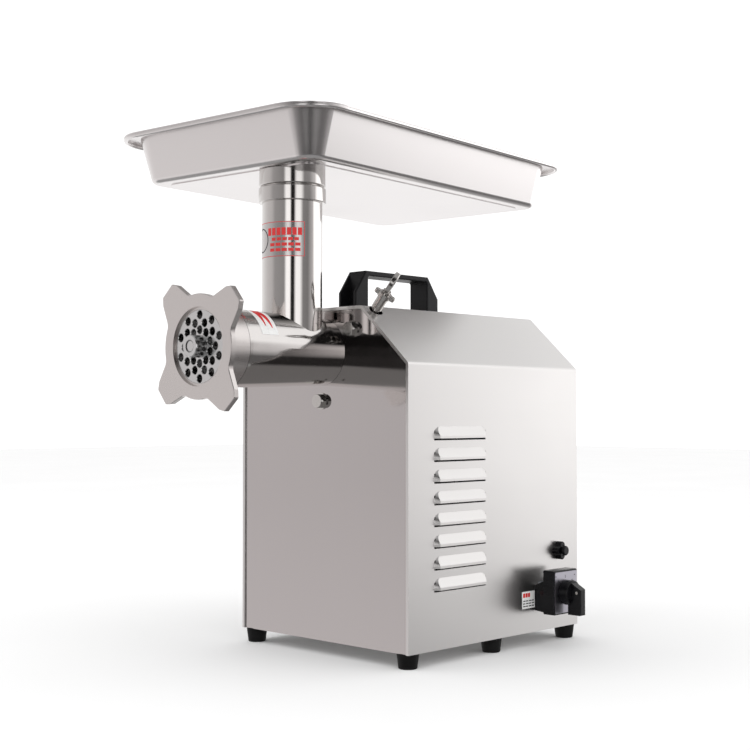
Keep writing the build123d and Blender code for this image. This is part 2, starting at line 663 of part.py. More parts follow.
def make_motor_cradle():
    floor = FOOT_HEIGHT + SHEET
    cradle = block(-60, 60, 140, 200, floor, floor + 4)
    for start in (140, 196):
        cradle += block(-50, 50, start, start + 4, floor, MOTOR_Z - 25)
    cradle -= block(-30, 30, 130, 210, floor + 20, MOTOR_Z - 85)
    cradle -= rod_y(MOTOR_R + SEATED, 130, 210, 0, MOTOR_Z)
    return cradle


def make_capacitor():
    can = rod_y(19, 120, 205, -86, 60)
    return can + rod_y(15, 205, 209, -86, 60) + block(-92, -90, 209, 216, 57, 63) + block(-82, -80, 209, 216, 57, 63)


def make_capacitor_clip():
    floor = FOOT_HEIGHT + SHEET
    clip = rod_y(21, 150, 164, -86, 60) + block(-107, -65, 150, 164, floor, floor + 2)
    clip += block(-88, -84, 150, 164, floor, 45)
    return clip - rod_y(19 + SEATED, 100, 250, -86, 60)


def make_terminal_block():
    floor = FOOT_HEIGHT + SHEET
    body = block(58, 98, 110, 126, floor, floor + 16)
    for pole in range(4):
        x = 63 + pole * 10
        body -= rod_z(2.6, floor + 6, floor + 20, x, behind(118))
    return body


# ---------------------------------------------------------------- controls
BEZEL_BACK, BEZEL_FRONT = 220.8, 181.8
BEZEL_X0, BEZEL_X1 = 128.3, 141.0


def make_switch_box():
    neck = outline([(SIDE_X, 35), (SIDE_X, 60), (BEZEL_X0, 66), (BEZEL_X0, 33.5)])
    box = along_y(neck, 186, 217)
    bezel = block(BEZEL_X0, BEZEL_X1, BEZEL_FRONT, BEZEL_BACK, 32.5, 76)
    bezel = fillet(bezel.edges().filter_by(Axis.X), 2.0)
    bezel = fillet(bezel.faces().sort_by(Axis.X)[-1].edges(), 0.8)
    box = box + bezel - rod_x(4.0, 100, 150, SWITCH_BACK, SWITCH_Z)
    return box


def make_switch_contacts():
    """Contact block of the rotary switch, inside the body."""
    body = block(80, SIDE_X - SHEET, SWITCH_BACK - 16, SWITCH_BACK + 16, SWITCH_Z - 17, SWITCH_Z + 17)
    body += block(SIDE_X - SHEET, SIDE_X, SWITCH_BACK - 8, SWITCH_BACK + 8, SWITCH_Z - 8, SWITCH_Z + 8)
    return body - rod_x(3.4, 90, 130, SWITCH_BACK, SWITCH_Z)


def make_switch_plate():
    plate = block(BEZEL_X1, BEZEL_X1 + 0.8, BEZEL_FRONT + 1.6, BEZEL_BACK - 1.6, 34.1, 74.4)
    plate = fillet(plate.edges().filter_by(Axis.X), 1.5)
    return plate - rod_x(4.0, 130, 150, SWITCH_BACK, SWITCH_Z)


def make_switch_knob():
    """Knob with a deep pointer fin that hangs down at the stop position."""
    hub = rod_x(12.0, BEZEL_X1 + 1.1, 152.0, SWITCH_BACK, SWITCH_Z)
    hub = fillet(hub.faces().sort_by(Axis.X)[-1].edges(), 1.5)
    fin = outline([(143.5, 65.8), (148, 66.5), (163, 58), (163, 33), (148, 33), (148, 42.6), (143.5, 42.6)])
    fin = along_y(fin, SWITCH_BACK - 4.3, SWITCH_BACK + 4.3)
    fin = fillet(fin.faces().sort_by(Axis.X)[-1].edges(), 1.2)
    knob = hub + fin + rod_x(3.0, 95, BEZEL_X1 + 2, SWITCH_BACK, SWITCH_Z)
    return knob - Pos(158, behind(SWITCH_BACK - 4.3), 55) * Rot(90, 0, 0) * Cylinder(1.5 + SEATED, 5)


def make_knob_screw():
    screw = Pos(158, behind(SWITCH_BACK - 3.0), 55) * Rot(90, 0, 0) * Cylinder(1.5, 2.2)
    return screw - Pos(158, behind(SWITCH_BACK - 4.1), 55) * Box(2.4, 0.9, 0.5)


def make_breaker():
    """Overload breaker with its threaded nose through the cover."""
    body = block(84, SIDE_X - SHEET, RESET_BACK - 9, RESET_BACK + 9, RESET_Z - 14, RESET_Z + 14)
    body += rod_x(5.5, SIDE_X - SHEET, SIDE_X + 5.5, RESET_BACK, RESET_Z)
    return body - rod_x(3.6, 100, 130, RESET_BACK, RESET_Z)


def make_reset_nut():
    """Four-lobed hand nut round the reset button."""
    face = Circle(6.4)
    for turn in range(4):
        face += Pos(*polar(5.2, 90 * turn)) * Circle(3.9)
    face = fillet([v for v in face.vertices() if v.center().length < 8], 1.5)
    nut = along_x(Pos(behind(RESET_BACK), RESET_Z) * face, SIDE_X, SIDE_X + 6.5)
    nut = fillet(nut.faces().sort_by(Axis.X)[-1].edges(), 0.9)
    return nut - rod_x(5.5 + SEATED, SIDE_X - 2, SIDE_X + 10, RESET_BACK, RESET_Z)


def make_reset_button():
    button = rod_x(3.3, 104, SIDE_X + 6.4, RESET_BACK, RESET_Z)
    cap = rod_x(5.0, SIDE_X + 8.6, SIDE_X + 11.0, RESET_BACK, RESET_Z)
    cap = fillet(cap.faces().sort_by(Axis.X)[-1].edges(), 1.6)
    return button + rod_x(3.3, SIDE_X + 6, SIDE_X + 9, RESET_BACK, RESET_Z) + cap


# ---------------------------------------------------------------- clamp
def make_clamp_screw():
    """Screw with a flat loop handle; its tip stops just short of the head's spigot."""
    screw = slant_rod(4.0, -46.8, 24)
    screw += slant_rod(5.2, 3.0, 15.6)
    across = slant_plane(33)
    ring = Plane(
        origin=across.origin, x_dir=across.z_dir,
        z_dir=across.x_dir * cos(radians(CLAMP_TURN)) + across.y_dir * sin(radians(CLAMP_TURN)),
    )
    loop = extrude(ring * Ellipse(11.2, 10.6), amount=2.4, both=True)
    loop -= extrude(ring * Ellipse(7.2, 6.2), amount=5, both=True)
    loop = fillet(loop.edges(), 0.9)
    return screw + loop


def make_clamp_nut():
    """Wing nut that locks the clamp screw."""
    hub = slant_rod(6.6, 16.2, 20.8)
    wing = extrude(slant_plane(16.6) * Rot(0, 0, CLAMP_TURN) * SlotOverall(21, 5), amount=4.6)
    wing = fillet(wing.faces().sort_by(Axis.Z)[-1].edges(), 1.0)
    return hub + wing - slant_rod(4.0 + RUNNING, 10, 30)


# ---------------------------------------------------------------- grinding head
def barrel_taper():
    """The barrel's outside, from the ring nut's neck back to the front panel."""
    middle = BARREL_ROOT - BARREL_LENGTH / 2
    return Pos(0, behind(middle), AXIS_Z) * Rot(90, 0, 0) * Cone(BARREL_REAR_R, BARREL_FRONT_R, BARREL_LENGTH)


def make_grinder_head():
    """Barrel with its threaded neck in front and the spigot that plugs into the gearbox behind."""
    head = barrel_taper() + rod_y(BARREL_FRONT_R + 0.7, -119.3, -116.0)
    head += rod_y(NECK_R, -137.2, -118)
    head += rod_y(SPIGOT_R, -5, SPIGOT_LENGTH)
    head -= rod_y(BARREL_BORE_R, -150, -14)
    head -= rod_z(TUBE_BORE_R, AXIS_Z, TUBE_TOP_Z, 0, TUBE_Y)
    head -= rod_y(BUSH_R + SEATED, -20, 60)
    for angle in PIN_ANGLES:
        head -= radial_pin(angle, 2.2 + SEATED, 27, 40)
    head -= block(-2.0, 2.0, -140, -133.5, AXIS_Z - NECK_R - 2, AXIS_Z - BARREL_BORE_R + 3)
    return head


def make_feed_tube():
    """Upright tube with a thicker collar at its mouth; its saddle end is welded to the barrel."""
    tube = rod_z(TUBE_R, AXIS_Z + 10, TUBE_TOP_Z, 0, TUBE_Y)
    collar = rod_z(TUBE_R + 3.3, 429, TUBE_TOP_Z, 0, TUBE_Y)
    tube += fillet(collar.edges().filter_by(GeomType.CIRCLE), 0.8)
    tube -= rod_z(TUBE_BORE_R, AXIS_Z, TUBE_TOP_Z + 5, 0, TUBE_Y)
    return tube - barrel_taper()


def radial_pin(angle, radius, r0, r1):
    """Small cylinder pointing out of the barrel near its rear end."""
    middle = (r0 + r1) / 2
    x, z = polar(middle, angle, 0, AXIS_Z)
    return Pos(x, behind(PIN_BACK), z) * Rot(0, 90 - angle, 0) * Cylinder(radius, r1 - r0)


def make_head_pins():
    """Grub screws that hold the bush in the barrel's rear wall."""
    pins = []
    for angle in PIN_ANGLES:
        pin = radial_pin(angle, 2.2, 28, 32.4)
        pins.append(pin - radial_pin(angle, 1.1, 31, 36))
    return group(pins)


def make_head_bush():
    return rod_y(BUSH_R, -13.5, 54.5) - rod_y(AUGER_SHAFT_R + RUNNING, -20, 60)


def make_cutter_plate():
    back = NUT_FACE_AHEAD - NUT_RECESS - PLATE_THICK
    plate = rod_y(PLATE_R, -back - PLATE_THICK + 1.25, -back)
    plate += rod_y(NUT_LIP_R - 0.3, -back - PLATE_THICK, -back - 2)
    for ring_r, shift in ((28.3, 0), (21.8, 18), (14.9, 0)):
        for hole in range(10):
            x, z = polar(ring_r, 90 + shift + 36 * hole, 0, AXIS_Z)
            start = -back - PLATE_THICK
            plate -= rod_y(PLATE_HOLE_R, start - 2, -back + 2, x, z)
            plate -= Pos(x, behind(start + 0.15), z) * Rot(90, 0, 0) * Cone(PLATE_HOLE_R, PLATE_HOLE_R + 0.5, 0.5)
    plate -= block(-2.05, 2.05, -back - 4, -back + 1, AXIS_Z - PLATE_R - 2, AXIS_Z - KEY_INNER_R + 0.2)
    return plate - rod_y(STUD_R + RUNNING, -160, -130)


def make_plate_key():
    """Key that stops the cutter plate from turning with the knife."""
    return block(-1.9, 1.9, -139.8, -133.7, AXIS_Z - NECK_R + 0.1, AXIS_Z - KEY_INNER_R)


def make_ring_nut():
    """Star-shaped ring nut with four flat-tipped lobes."""
    face = Circle(NUT_BODY_R)
    for turn in range(4):
        angle = 45 + 90 * turn
        tip = NUT_LOBE_WIDTH / 2
        base = NUT_LOBE_WIDTH / 2 + 15
        tip_x = sqrt(NUT_LOBE_R**2 - tip**2)
        lobe = outline([(0, -base), (36, -base + 2), (tip_x - 6, -tip - 4.6), (tip_x, -tip),
                        (tip_x, tip), (tip_x - 6, tip + 4.6), (36, base - 2), (0, base)])
        face += Rot(0, 0, angle) * lobe
    corners = [v for v in face.vertices() if 44 < v.center().length < 49]
    face = fillet(corners, 9)
    tips = [v for v in face.vertices() if v.center().length > NUT_LOBE_R - 8]
    face = fillet(tips, 2.0)
    star_start = -NUT_FACE_AHEAD
    star_end = star_start + NUT_STAR_THICK
    star = along_y(Pos(0, AXIS_Z) * Rot(0, 0, NUT_TURN) * face, star_start, star_end)
    nut = star + rod_y(BARREL_FRONT_R + 0.6, star_end - 1, -119.6)
    rim = nut.faces().sort_by(Axis.Y)[0].outer_wire().edges()
    nut = fillet(rim, 0.7)
    lip_start = star_start + NUT_RECESS
    nut -= rod_y(NUT_OPENING_R, star_start - 1, lip_start)
    nut -= rod_y(NUT_LIP_R, star_start - 1, star_end + 3)
    return nut - rod_y(NECK_R + 0.8, lip_start + 1.2, -115)


# ---------------------------------------------------------------- auger and knife
def make_auger():
    """Screw auger with one cast flight and a square drive tang."""
    start, end = -129.0, -18.0
    length = end - start
    wedge = outline([(0, -9), (AUGER_R - 3, -11), (AUGER_R - 3, 11), (0, 9)])
    blade = Rectangle(2 * AUGER_R, 20, align=(Align.MIN, Align.CENTER))
    section = (Circle(AUGER_CORE_R) + wedge + blade) & Circle(AUGER_R)
    flight = Solid.extrude_linear_with_rotation(
        section.faces()[0], (0, 0, 0), (0, 0, length), 360 * length / AUGER_PITCH
    )
    auger = Pos(0, behind(end), AXIS_Z) * Rot(90, 0, 0) * flight
    auger += rod_y(16.0, end, -15.6)
    auger += rod_y(AUGER_SHAFT_R, -15.6, 56.8)
    half = DRIVE_SQUARE / 2
    tang = block(-half, half, 56.8, 70, AXIS_Z - half, AXIS_Z + half)
    auger = auger + (tang & rod_y(9.4, 56, 72))
    return auger - rod_y(5.0 + SEATED, start - 2, start + 22)


def make_auger_stud():
    """Stud in the auger's nose: it carries the knife and runs in the cutter plate."""
    stud = rod_y(STUD_R, -STUD_FACE_AHEAD, -137.6)
    stud = chamfer(stud.edges().sort_by(Axis.Y)[0], 0.8)
    stud -= rod_y(5.65, -STUD_FACE_AHEAD - 1, -STUD_FACE_AHEAD + 2.4) - rod_y(
        4.5, -STUD_FACE_AHEAD - 2, -STUD_FACE_AHEAD + 4)
    stud -= rod_y(4.6, -STUD_FACE_AHEAD - 1, -STUD_FACE_AHEAD + 0.8)
    half = 6.5
    stud += block(-half, half, -137.6, -129.05, AXIS_Z - half, AXIS_Z + half)
    return stud + rod_y(5.0, -129.1, -108)


def make_knife():
    """Four-armed knife on the stud's square."""
    knife = rod_y(12.5, -137.3, -129.4)
    for turn in range(4):
        arm = outline([(8, -5.5), (28.6, -3.2), (28.6, 3.8), (8, 6.5)])
        knife += along_y(Pos(0, AXIS_Z) * Rot(0, 0, 90 * turn + 12) * arm, -137.3, -131.0)
    half = 6.5 + SEATED
    return knife - block(-half, half, -140, -120, AXIS_Z - half, AXIS_Z + half)


def make_thrust_washer():
    return rod_y(17.5, -15.4, -14.1) - rod_y(AUGER_SHAFT_R + 0.3, -20, -10)


# ---------------------------------------------------------------- feed tray
def tray_place(item):
    """Move a piece drawn about the tube axis to the tray's place."""
    return Pos(0, TUBE_Y, 0) * Rot(0, 0, TRAY_YAW) * item


def tray_sketch(grow, radius):
    width = TRAY_RIGHT - TRAY_LEFT + 2 * grow
    length = TRAY_BACK - TRAY_FRONT + 2 * grow
    centre = ((TRAY_LEFT + TRAY_RIGHT) / 2, (TRAY_FRONT + TRAY_BACK) / 2)
    return Pos(*centre) * RectangleRounded(width, length, radius)


def make_tray_pan():
    """Pressed pan with sloping walls, a flat flange and a rolled edge."""
    depth = TRAY_RIM_Z - TRAY_BOTTOM_Z
    slope = degrees(atan2(TRAY_FLARE, depth))
    floor_z = TRAY_BOTTOM_Z + TRAY_SHEET
    wall = TRAY_SHEET - 0.2
    outside = extrude(Plane.XY.offset(TRAY_BOTTOM_Z) * tray_sketch(0, TRAY_CORNER_R), amount=depth, taper=-slope)
    outside = fillet(outside.faces().sort_by(Axis.Z)[0].edges(), 6)
    hollow = tray_sketch(-wall, TRAY_CORNER_R - wall)
    inside = extrude(Plane.XY.offset(floor_z) * hollow, amount=depth, taper=-slope)
    inside = fillet(inside.faces().sort_by(Axis.Z)[0].edges(), 5)

    grow = TRAY_FLARE + TRAY_FLANGE
    rim = tray_sketch(grow, TRAY_CORNER_R + grow)
    rim_hollow = tray_sketch(grow - TRAY_BEAD_WIDTH, TRAY_CORNER_R + grow - TRAY_BEAD_WIDTH)
    flange = extrude(Plane.XY.offset(TRAY_RIM_Z - TRAY_SHEET) * rim, amount=TRAY_SHEET)
    bead = extrude(Plane.XY.offset(TRAY_RIM_Z - TRAY_BEAD) * (rim - rim_hollow), amount=TRAY_BEAD)
    bead = fillet(bead.edges().filter_by(Plane.XY), 2.0)

    step_z = TRAY_BOTTOM_Z - TRAY_STEP
    step_sketch = tray_sketch(-TRAY_STEP_INSET, TRAY_CORNER_R - 4)
    dish_sketch = tray_sketch(-TRAY_STEP_INSET - 1, TRAY_CORNER_R - 5)
    step = extrude(Plane.XY.offset(step_z) * step_sketch, amount=TRAY_STEP + 0.4)
    dish = extrude(Plane.XY.offset(step_z + TRAY_SHEET) * dish_sketch, amount=3)
    pan = outside + flange - inside + bead + step - dish
    return tray_place(pan - rod_z(THROAT_R + 1.8, 450, 470))


def make_tray_spigot():
    """Short tube under the tray: a collar that sits on the head and a sleeve that drops into it."""
    sleeve = rod_z(TUBE_BORE_R - 0.08, 425, TRAY_BOTTOM_Z - TRAY_STEP, 0, TUBE_Y)
    collar = rod_z(TUBE_R + 2.85, TUBE_TOP_Z + 1.5, TRAY_BOTTOM_Z - TRAY_STEP, 0, TUBE_Y)
    collar = fillet(collar.edges().sort_by(Axis.Z)[0], 1.2)
    neck = rod_z(THROAT_R + 1.8 - SEATED, 450, TRAY_BOTTOM_Z + 0.6, 0, TUBE_Y)
    return sleeve + collar + neck - rod_z(THROAT_R, 400, 480, 0, TUBE_Y)


# ---------------------------------------------------------------- the whole machine
NODES = {
    "cover_shell": make_cover,
    "front_panel": make_front_panel,
    "rear_panel": make_rear_panel,
    "base_plate": make_base_plate,
    "feet": make_feet,
    "foot_screws": make_foot_screws,
    "foot_nuts": make_foot_nuts,
    "front_bolts": make_front_bolts,
    "front_washers": make_front_washers,
    "rear_screws": make_rear_screws,
    "cable_gland": make_cable_gland,
    "top_handle": make_top_handle,
    "handle_bolts": make_handle_bolts,
    "gear_housing": make_gear_housing,
    "gear_cover": make_gear_cover,
    "gearbox_screws": make_gearbox_screws,
    "ball_bearings": make_ball_bearings,
    "layshaft_bushes": make_layshaft_bushes,
    "output_seal": make_output_seal,
    "output_gear": make_output_gear,
    "output_shaft": make_output_shaft,
    "output_key": make_output_key,
    "layshaft": make_layshaft,
    "layshaft_gear": make_lay_gear,
    "motor_front_bell": make_front_bell,
    "motor_shell": make_motor_shell,
    "motor_rear_bell": make_rear_bell,
    "motor_screws": make_motor_screws,
    "motor_cradle": make_motor_cradle,
    "stator_core": make_stator,
    "stator_windings": make_windings,
    "rotor_core": make_rotor_core,
    "rotor_shaft": make_rotor_shaft,
    "cooling_fan": make_cooling_fan,
    "start_capacitor": make_capacitor,
    "capacitor_clip": make_capacitor_clip,
    "terminal_block": make_terminal_block,
    "switch_box": make_switch_box,
    "switch_contacts": make_switch_contacts,
    "switch_plate": make_switch_plate,
    "switch_knob": make_switch_knob,
    "knob_screw": make_knob_screw,
    "overload_breaker": make_breaker,
    "reset_nut": make_reset_nut,
    "reset_button": make_reset_button,
    "clamp_screw": make_clamp_screw,
    "clamp_wing_nut": make_clamp_nut,
    "grinder_head": make_grinder_head,
    "feed_tube": make_feed_tube,
    "head_pins": make_head_pins,
    "head_bush": make_head_bush,
    "cutter_plate": make_cutter_plate,
    "plate_key": make_plate_key,
    "ring_nut": make_ring_nut,
    "auger": make_auger,
    "auger_stud": make_auger_stud,
    "knife": make_knife,
    "thrust_washer": make_thrust_washer,
    "tray_pan": make_tray_pan,
    "tray_spigot": make_tray_spigot,
}


def main():
    os.makedirs("parts", exist_ok=True)
    for name, make in NODES.items():
        part = make()
        export_step(part, f"parts/{name}.step")
        print(name, len(part.solids()), round(part.volume))


main()
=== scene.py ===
"""Electric meat grinder: looks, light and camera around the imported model. Metres throughout."""
import json
import math

import bpy
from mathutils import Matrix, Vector


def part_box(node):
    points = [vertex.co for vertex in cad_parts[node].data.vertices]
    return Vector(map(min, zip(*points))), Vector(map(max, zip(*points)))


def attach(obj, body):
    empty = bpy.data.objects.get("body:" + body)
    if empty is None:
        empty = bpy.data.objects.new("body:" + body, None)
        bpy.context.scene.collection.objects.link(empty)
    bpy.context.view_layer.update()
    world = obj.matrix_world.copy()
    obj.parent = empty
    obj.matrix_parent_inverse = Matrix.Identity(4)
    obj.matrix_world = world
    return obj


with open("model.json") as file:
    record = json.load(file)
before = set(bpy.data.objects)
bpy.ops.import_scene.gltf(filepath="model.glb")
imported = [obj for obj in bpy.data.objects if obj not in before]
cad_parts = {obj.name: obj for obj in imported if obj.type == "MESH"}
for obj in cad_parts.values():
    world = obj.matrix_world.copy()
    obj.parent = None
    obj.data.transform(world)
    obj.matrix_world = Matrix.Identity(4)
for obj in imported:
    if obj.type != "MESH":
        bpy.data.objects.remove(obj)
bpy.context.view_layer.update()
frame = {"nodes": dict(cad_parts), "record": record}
nodes = frame["nodes"]

MM = 0.001


# ---------------------------------------------------------------- material building blocks
def start_material(name):
    """A new node material with its Principled shader and object coordinates."""
    material = bpy.data.materials.new(name)
    material.use_nodes = True
    tree = material.node_tree
    shader = tree.nodes["Principled BSDF"]
    coords = tree.nodes.new("ShaderNodeTexCoord")
    return material, tree, shader, coords.outputs["Object"]


def noise(tree, vector, scale, stretch=(1, 1, 1), detail=4.0, roughness=0.55):
    """Noise that is drawn out along the axes where stretch is small."""
    mapping = tree.nodes.new("ShaderNodeMapping")
    mapping.inputs["Scale"].default_value = stretch
    texture = tree.nodes.new("ShaderNodeTexNoise")
    texture.inputs["Scale"].default_value = scale
    texture.inputs["Detail"].default_value = detail
    texture.inputs["Roughness"].default_value = roughness
    tree.links.new(vector, mapping.inputs["Vector"])
    tree.links.new(mapping.outputs["Vector"], texture.inputs["Vector"])
    return texture.outputs["Fac"]


def spread(tree, value, low, high, from_low=0.3, from_high=0.7):
    """Map a value onto the range from low to high."""
    node = tree.nodes.new("ShaderNodeMapRange")
    node.inputs["From Min"].default_value = from_low
    node.inputs["From Max"].default_value = from_high
    node.inputs["To Min"].default_value = low
    node.inputs["To Max"].default_value = high
    tree.links.new(value, node.inputs["Value"])
    return node.outputs["Result"]


def blend_values(tree, first, second, factor=0.5):
    node = tree.nodes.new("ShaderNodeMix")
    node.inputs["Factor"].default_value = factor
    tree.links.new(first, node.inputs["A"])
    tree.links.new(second, node.inputs["B"])
    return node.outputs["Result"]


def two_colours(tree, factor, dark, light):
    node = tree.nodes.new("ShaderNodeMix")
    node.data_type = "RGBA"
    node.inputs["A"].default_value = (*dark, 1)
    node.inputs["B"].default_value = (*light, 1)
    tree.links.new(factor, node.inputs["Factor"])
    return node.outputs["Result"]


def bumps(tree, shader, height, depth, strength=1.0):
    """Relief of a given depth in metres."""
    node = tree.nodes.new("ShaderNodeBump")
    node.inputs["Strength"].default_value = strength
    node.inputs["Distance"].default_value = depth
    tree.links.new(height, node.inputs["Height"])
    tree.links.new(node.outputs["Normal"], shader.inputs["Normal"])


def shade(colour, factor):
    return tuple(channel * factor for channel in colour)


# ---------------------------------------------------------------- materials
def steel(name, colour, rough, grain, depth, variation, spread_rough, anisotropic=0.0):
    """Stainless steel with a drawn-out grain, faint wiping marks and a little colour drift."""
    material, tree, shader, vector = start_material(name)
    lines = noise(tree, vector, 1.0, grain, detail=5, roughness=0.6)
    marks = noise(tree, vector, 9.0, detail=3)
    both = blend_values(tree, lines, marks, 0.5)
    dark, light = shade(colour, 1 - variation), shade(colour, 1 + variation)
    colours = two_colours(tree, spread(tree, both, 0, 1), dark, light)
    tree.links.new(colours, shader.inputs["Base Color"])
    roughness = spread(tree, both, rough - spread_rough, rough + spread_rough)
    tree.links.new(roughness, shader.inputs["Roughness"])
    shader.inputs["Metallic"].default_value = 1.0
    shader.inputs["Anisotropic"].default_value = anisotropic
    bumps(tree, shader, lines, depth)
    return material


def cast_metal(name, colour, rough, scale, depth):
    """Sand-cast or die-cast metal with a pebbled skin."""
    material, tree, shader, vector = start_material(name)
    pebbles = noise(tree, vector, scale, detail=5)
    patches = noise(tree, vector, 25, detail=2)
    both = blend_values(tree, pebbles, patches)
    colours = two_colours(tree, spread(tree, both, 0, 1), shade(colour, 0.8), colour)
    tree.links.new(colours, shader.inputs["Base Color"])
    tree.links.new(spread(tree, patches, rough - 0.1, rough + 0.1), shader.inputs["Roughness"])
    shader.inputs["Metallic"].default_value = 1.0
    bumps(tree, shader, pebbles, depth)
    return material


def moulded(name, colour, rough, scale, depth, specular=0.5):
    """Moulded plastic or rubber: fine spark-eroded texture and slight scuffing."""
    material, tree, shader, vector = start_material(name)
    texture = noise(tree, vector, scale, detail=3)
    scuffs = noise(tree, vector, 30, (1, 1, 3), detail=5)
    light = tuple(channel * 1.5 + 0.004 for channel in colour)
    colours = two_colours(tree, spread(tree, scuffs, 0, 1), colour, light)
    tree.links.new(colours, shader.inputs["Base Color"])
    tree.links.new(spread(tree, scuffs, rough - 0.07, rough + 0.07), shader.inputs["Roughness"])
    shader.inputs["Specular IOR Level"].default_value = specular
    bumps(tree, shader, texture, depth)
    return material


def stacked(name, colour, rough, pitch, axis="Y"):
    """Thin layers side by side, such as laminations or a winding's turns."""
    material, tree, shader, vector = start_material(name)
    wave = tree.nodes.new("ShaderNodeTexWave")
    wave.bands_direction = axis
    wave.inputs["Scale"].default_value = 0.314 / pitch
    wave.inputs["Distortion"].default_value = 0.6
    wave.inputs["Detail"].default_value = 2
    tree.links.new(vector, wave.inputs["Vector"])
    layers = wave.outputs["Fac"]
    drift = noise(tree, vector, 40, detail=3)
    tree.links.new(two_colours(tree, layers, shade(colour, 0.55), colour), shader.inputs["Base Color"])
    tree.links.new(spread(tree, drift, rough - 0.08, rough + 0.08), shader.inputs["Roughness"])
    shader.inputs["Metallic"].default_value = 1.0
    bumps(tree, shader, layers, 2e-4, 0.6)
    return material


def ink(name, colour, rough=0.45):
    """Printed film: a faint unevenness in the print and in its gloss."""
    material, tree, shader, vector = start_material(name)
    drift = noise(tree, vector, 220, detail=3)
    colours = two_colours(tree, spread(tree, drift, 0, 1), shade(colour, 0.9), colour)
    tree.links.new(colours, shader.inputs["Base Color"])
    tree.links.new(spread(tree, drift, rough - 0.05, rough + 0.05), shader.inputs["Roughness"])
    bumps(tree, shader, drift, 4e-6)
    return material


# Sheet and machined metal: colour, roughness, grain, relief depth, colour drift, roughness drift.
cover_steel = steel("cover_steel", (0.72, 0.71, 0.70), 0.31, (900, 5, 900), 4e-7, 0.008, 0.02, 0.2)
panel_steel = steel("panel_steel", (0.56, 0.53, 0.525), 0.07, (700, 700, 6), 8e-7, 0.012, 0.02)
head_steel = steel("head_steel", (0.64, 0.62, 0.605), 0.09, (90, 90, 90), 1.2e-6, 0.03, 0.03)
nut_steel = steel("nut_steel", (0.70, 0.665, 0.65), 0.30, (420, 420, 420), 4e-6, 0.03, 0.05)
plate_steel = steel("plate_steel", (0.66, 0.66, 0.66), 0.24, (500, 300, 500), 3e-6, 0.05, 0.05)
tray_steel = steel("tray_steel", (0.80, 0.775, 0.77), 0.24, (12, 12, 700), 5e-7, 0.008, 0.02)
bright_steel = steel("bright_steel", (0.60, 0.58, 0.56), 0.14, (300, 300, 300), 2e-6, 0.06, 0.04)
zinc = steel("zinc", (0.55, 0.56, 0.58), 0.35, (260, 260, 260), 6e-6, 0.12, 0.08)
machined = steel("machined", (0.42, 0.42, 0.43), 0.28, (700, 40, 700), 6e-6, 0.10, 0.08)
casting = cast_metal("casting", (0.55, 0.56, 0.57), 0.48, 650, 6e-5)
bronze = cast_metal("bronze", (0.55, 0.38, 0.18), 0.40, 900, 2e-5)
motor_paint = moulded("motor_paint", (0.02, 0.022, 0.025), 0.38, 900, 1.5e-5)
black_plastic = moulded("black_plastic", (0.005, 0.005, 0.006), 0.42, 1500, 1.6e-5, 0.25)
control_plastic = moulded("control_plastic", (0.003, 0.003, 0.004), 0.30, 1800, 6e-6, 0.25)
rubber = moulded("rubber", (0.004, 0.004, 0.004), 0.60, 700, 3e-5, 0.15)
grey_plastic = moulded("grey_plastic", (0.36, 0.37, 0.39), 0.40, 1500, 1e-5)
white_plastic = moulded("white_plastic", (0.66, 0.66, 0.63), 0.42, 1500, 1e-5)
lamination = stacked("lamination", (0.20, 0.20, 0.21), 0.45, 1.0 * MM)
copper = stacked("copper", (0.62, 0.25, 0.10), 0.32, 1.6 * MM, "DIAGONAL")
foil = steel("foil", (0.46, 0.45, 0.50), 0.34, (8, 600, 8), 1.5e-6, 0.05, 0.05)
red_ink = ink("red_ink", (0.62, 0.02, 0.02))
dark_ink = ink("dark_ink", (0.03, 0.03, 0.035))
white_film = ink("white_film", (0.80, 0.80, 0.79), 0.30)

SLOT_MATERIALS = {
    "body_sheet": cover_steel,
    "panel_mirror": panel_steel,
    "head_polished": head_steel,
    "nut_satin": nut_steel,
    "plate_steel": plate_steel,
    "tray_steel": tray_steel,
    "bolt_steel": bright_steel,
    "zinc_steel": zinc,
    "machine_steel": machined,
    "cast_housing": casting,
    "motor_paint": motor_paint,
    "lamination": lamination,
    "copper": copper,
    "bronze": bronze,
    "black_plastic": black_plastic,
    "control_plastic": control_plastic,
    "rubber": rubber,
    "switch_label": foil,
    "grey_plastic": grey_plastic,
    "white_plastic": white_plastic,
}
for part in frame["record"]["subparts"]:
    piece = nodes[part["node"]]
    piece.data.materials.clear()
    piece.data.materials.append(SLOT_MATERIALS[part["material_slot"]])


# ---------------------------------------------------------------- printed labels
THIN_FILM = 0.05 * MM           # clear label on the tube
THICK_FILM = 0.08 * MM          # white labels on the barrel and the side
PRINT = 0.04 * MM
FINE_PRINT = 0.03 * MM
GLUE_GAP = 0.03 * MM            # keeps a label just off the surface below it
BARREL_GAP = 0.05 * MM
PLATE_GAP = 0.02 * MM


def mesh_piece(name, vertices, faces, material, body, slot):
    mesh = bpy.data.meshes.new(name)
    mesh.from_pydata(vertices, [], faces)
    mesh.validate()
    mesh.materials.append(material)
    piece = bpy.data.objects.new(name, mesh)
    bpy.context.scene.collection.objects.link(piece)
    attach(piece, body)
    return piece


